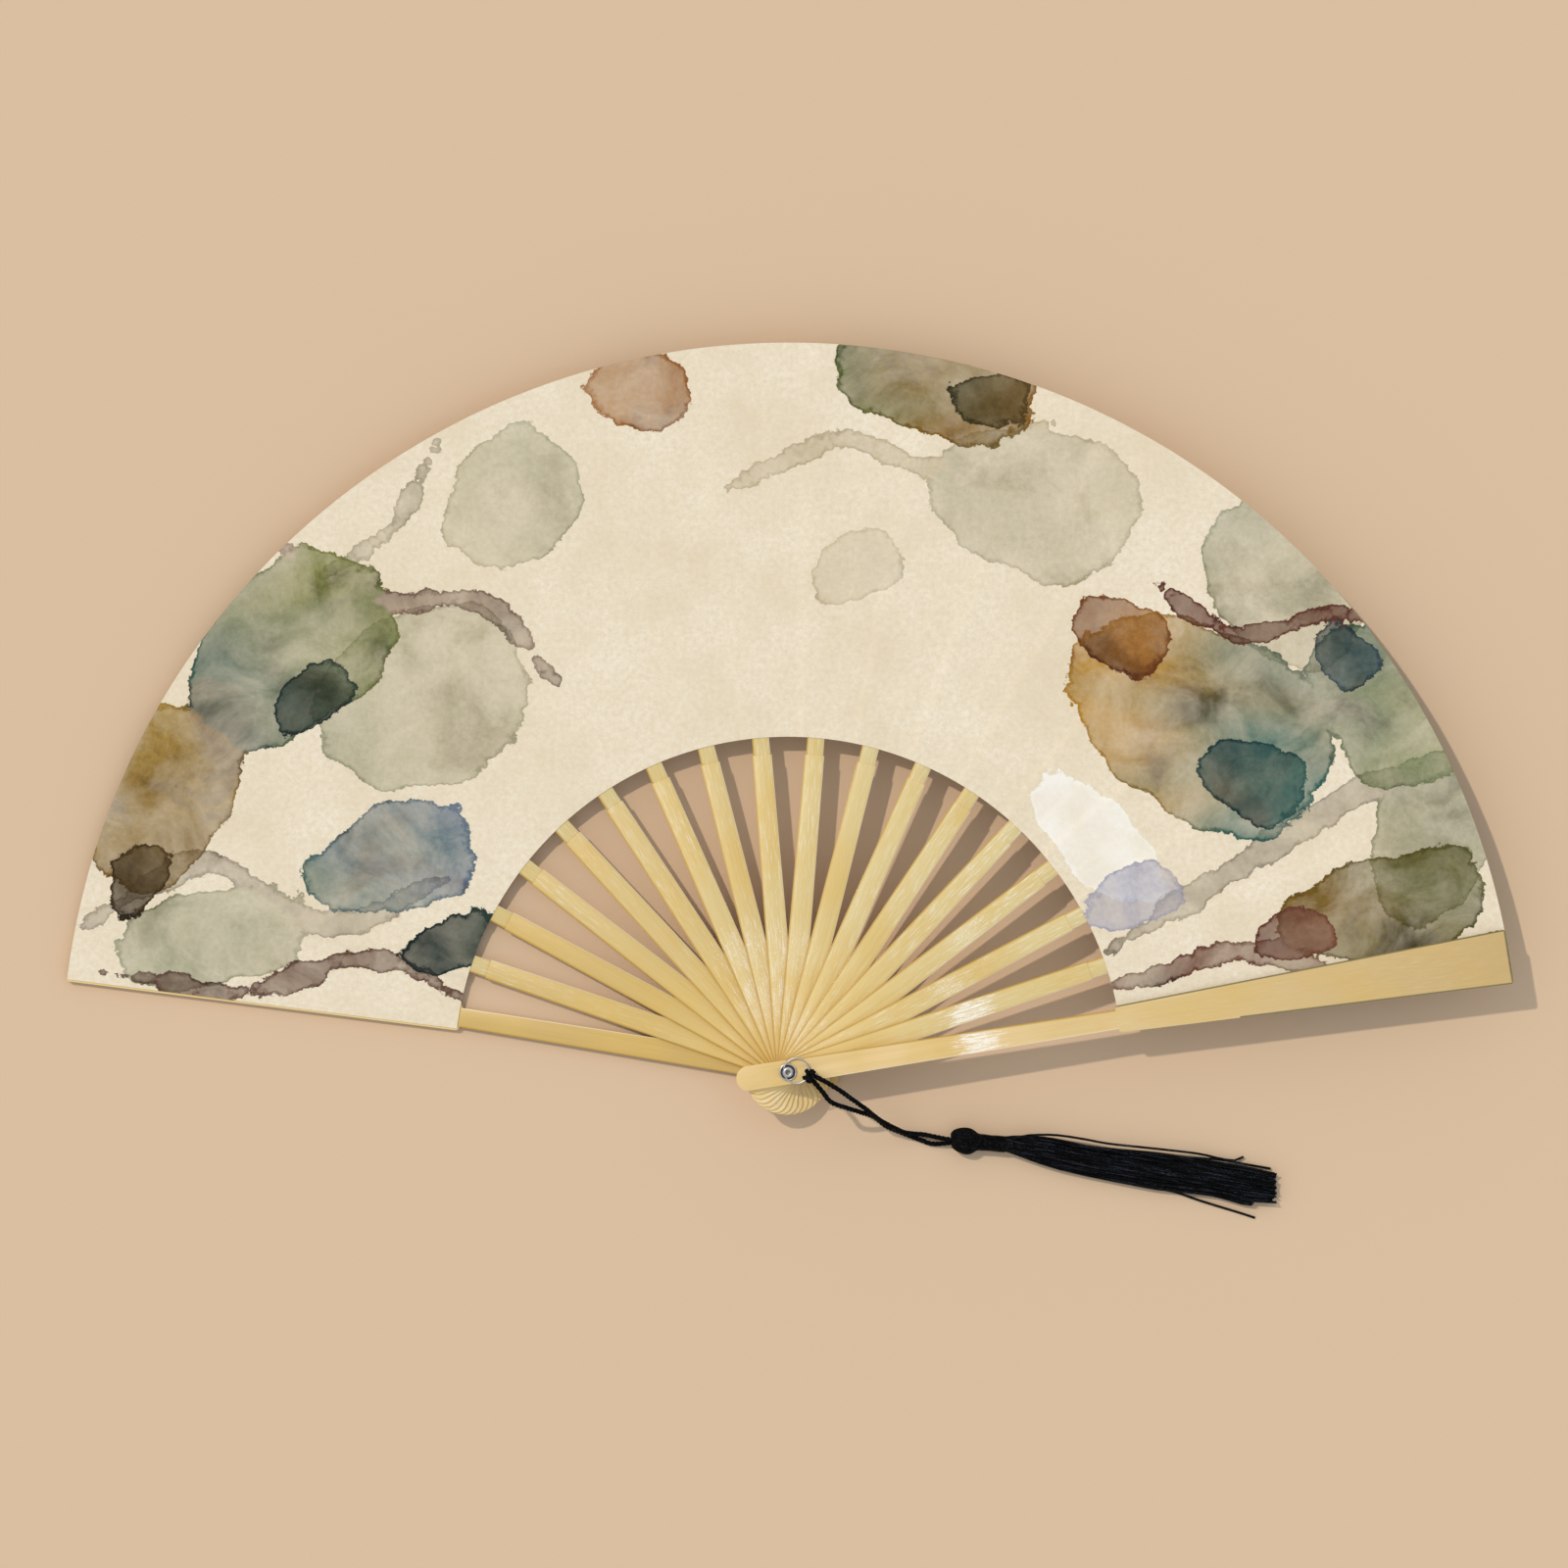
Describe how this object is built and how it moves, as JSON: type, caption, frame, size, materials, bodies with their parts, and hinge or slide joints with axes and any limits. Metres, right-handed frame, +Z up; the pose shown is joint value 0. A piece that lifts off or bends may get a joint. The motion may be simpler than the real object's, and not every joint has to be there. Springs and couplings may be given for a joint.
{
  "type": "folding fan",
  "caption": "Folding hand fan of thin bamboo sticks on one rivet, with a pleated cloth leaf between two guards and a corded tassel on a wire ring.",
  "frame": {"origin": "foot of the rivet's axis on the surface that the open fan lies on, at the middle of the rivet's rear head", "axes": "+Z up along the rivet, +X along the open fan's width towards the front guard, +Y from the rivet towards the middle of the leaf"},
  "size_m": [0.4368, 0.2624, 0.0236],
  "materials": {
    "bamboo_guard": "smooth lacquered bamboo",
    "bamboo_rib": "smooth polished bamboo",
    "leaf_cloth": null,
    "nickel_plate": "bright nickel plate",
    "black_thread": "dull black thread"
  },
  "bodies": {
    "rear_guard": {"rear_guard": "bamboo_guard", "leaf_panel_00": "leaf_cloth", "rivet": "nickel_plate", "front_cup": "nickel_plate", "rear_cup": "nickel_plate"},
    "rib_01": {"rib_01": "bamboo_rib", "leaf_panel_01": "leaf_cloth"},
    "rib_02": {"rib_02": "bamboo_rib", "leaf_panel_02": "leaf_cloth"},
    "rib_03": {"rib_03": "bamboo_rib", "leaf_panel_03": "leaf_cloth"},
    "rib_04": {"rib_04": "bamboo_rib", "leaf_panel_04": "leaf_cloth"},
    "rib_05": {"rib_05": "bamboo_rib", "leaf_panel_05": "leaf_cloth"},
    "rib_06": {"rib_06": "bamboo_rib", "leaf_panel_06": "leaf_cloth"},
    "rib_07": {"rib_07": "bamboo_rib", "leaf_panel_07": "leaf_cloth"},
    "rib_08": {"rib_08": "bamboo_rib", "leaf_panel_08": "leaf_cloth"},
    "rib_09": {"rib_09": "bamboo_rib", "leaf_panel_09": "leaf_cloth"},
    "rib_10": {"rib_10": "bamboo_rib", "leaf_panel_10": "leaf_cloth"},
    "rib_11": {"rib_11": "bamboo_rib", "leaf_panel_11": "leaf_cloth"},
    "rib_12": {"rib_12": "bamboo_rib", "leaf_panel_12": "leaf_cloth"},
    "rib_13": {"rib_13": "bamboo_rib", "leaf_panel_13": "leaf_cloth"},
    "rib_14": {"rib_14": "bamboo_rib", "leaf_panel_14": "leaf_cloth"},
    "rib_15": {"rib_15": "bamboo_rib", "leaf_panel_15": "leaf_cloth"},
    "rib_16": {"rib_16": "bamboo_rib", "leaf_panel_16": "leaf_cloth"},
    "front_guard": {"front_guard": "bamboo_guard", "leaf_panel_17": "leaf_cloth"},
    "tassel": {"jump_ring": "nickel_plate", "ring_knot": "black_thread", "cord_upper_strand": "black_thread", "cord_lower_strand": "black_thread", "tassel_knot": "black_thread", "neck_binding": "black_thread", "tassel_skirt": "black_thread"}
  },
  "joints": [
    {"name": "front_guard_fold", "type": "hinge", "parent": "rear_guard", "child": "front_guard", "pos_m": [0, 0, 0.01949], "axis": [0, 0, 1], "range_deg": [0, 161.7]},
    {"name": "rib_01_fold", "type": "hinge", "parent": "rear_guard", "child": "rib_01", "pos_m": [0, 0, 0.00364], "axis": [0, 0, 1], "range_deg": [0, 9.51]},
    {"name": "rib_02_fold", "type": "hinge", "parent": "rear_guard", "child": "rib_02", "pos_m": [0, 0, 0.00459], "axis": [0, 0, 1], "range_deg": [0, 19.02]},
    {"name": "rib_03_fold", "type": "hinge", "parent": "rear_guard", "child": "rib_03", "pos_m": [0, 0, 0.00554], "axis": [0, 0, 1], "range_deg": [0, 28.54]},
    {"name": "rib_04_fold", "type": "hinge", "parent": "rear_guard", "child": "rib_04", "pos_m": [0, 0, 0.00649], "axis": [0, 0, 1], "range_deg": [0, 38.05]},
    {"name": "rib_05_fold", "type": "hinge", "parent": "rear_guard", "child": "rib_05", "pos_m": [0, 0, 0.00744], "axis": [0, 0, 1], "range_deg": [0, 47.56]},
    {"name": "rib_06_fold", "type": "hinge", "parent": "rear_guard", "child": "rib_06", "pos_m": [0, 0, 0.00839], "axis": [0, 0, 1], "range_deg": [0, 57.07]},
    {"name": "rib_07_fold", "type": "hinge", "parent": "rear_guard", "child": "rib_07", "pos_m": [0, 0, 0.00934], "axis": [0, 0, 1], "range_deg": [0, 66.58]},
    {"name": "rib_08_fold", "type": "hinge", "parent": "rear_guard", "child": "rib_08", "pos_m": [0, 0, 0.01029], "axis": [0, 0, 1], "range_deg": [0, 76.09]},
    {"name": "rib_09_fold", "type": "hinge", "parent": "rear_guard", "child": "rib_09", "pos_m": [0, 0, 0.01124], "axis": [0, 0, 1], "range_deg": [0, 85.61]},
    {"name": "rib_10_fold", "type": "hinge", "parent": "rear_guard", "child": "rib_10", "pos_m": [0, 0, 0.01219], "axis": [0, 0, 1], "range_deg": [0, 95.12]},
    {"name": "rib_11_fold", "type": "hinge", "parent": "rear_guard", "child": "rib_11", "pos_m": [0, 0, 0.01314], "axis": [0, 0, 1], "range_deg": [0, 104.63]},
    {"name": "rib_12_fold", "type": "hinge", "parent": "rear_guard", "child": "rib_12", "pos_m": [0, 0, 0.01409], "axis": [0, 0, 1], "range_deg": [0, 114.14]},
    {"name": "rib_13_fold", "type": "hinge", "parent": "rear_guard", "child": "rib_13", "pos_m": [0, 0, 0.01504], "axis": [0, 0, 1], "range_deg": [0, 123.65]},
    {"name": "rib_14_fold", "type": "hinge", "parent": "rear_guard", "child": "rib_14", "pos_m": [0, 0, 0.01599], "axis": [0, 0, 1], "range_deg": [0, 133.16]},
    {"name": "rib_15_fold", "type": "hinge", "parent": "rear_guard", "child": "rib_15", "pos_m": [0, 0, 0.01694], "axis": [0, 0, 1], "range_deg": [0, 142.68]},
    {"name": "rib_16_fold", "type": "hinge", "parent": "rear_guard", "child": "rib_16", "pos_m": [0, 0, 0.01789], "axis": [0, 0, 1], "range_deg": [0, 152.19]},
    {"name": "tassel_swing", "type": "hinge", "parent": "rear_guard", "child": "tassel", "pos_m": [0, 0, 0.0216], "axis": [0, 0, 1], "range_deg": [-140, 8]}
  ],
  "couplings": [
    {"joint": "rib_01_fold", "follows": "front_guard_fold", "ratio": 0.058824},
    {"joint": "rib_02_fold", "follows": "front_guard_fold", "ratio": 0.11765},
    {"joint": "rib_03_fold", "follows": "front_guard_fold", "ratio": 0.17647},
    {"joint": "rib_04_fold", "follows": "front_guard_fold", "ratio": 0.23529},
    {"joint": "rib_05_fold", "follows": "front_guard_fold", "ratio": 0.29412},
    {"joint": "rib_06_fold", "follows": "front_guard_fold", "ratio": 0.35294},
    {"joint": "rib_07_fold", "follows": "front_guard_fold", "ratio": 0.41176},
    {"joint": "rib_08_fold", "follows": "front_guard_fold", "ratio": 0.47059},
    {"joint": "rib_09_fold", "follows": "front_guard_fold", "ratio": 0.52941},
    {"joint": "rib_10_fold", "follows": "front_guard_fold", "ratio": 0.58824},
    {"joint": "rib_11_fold", "follows": "front_guard_fold", "ratio": 0.64706},
    {"joint": "rib_12_fold", "follows": "front_guard_fold", "ratio": 0.70588},
    {"joint": "rib_13_fold", "follows": "front_guard_fold", "ratio": 0.76471},
    {"joint": "rib_14_fold", "follows": "front_guard_fold", "ratio": 0.82353},
    {"joint": "rib_15_fold", "follows": "front_guard_fold", "ratio": 0.88235},
    {"joint": "rib_16_fold", "follows": "front_guard_fold", "ratio": 0.94118}
  ]
}
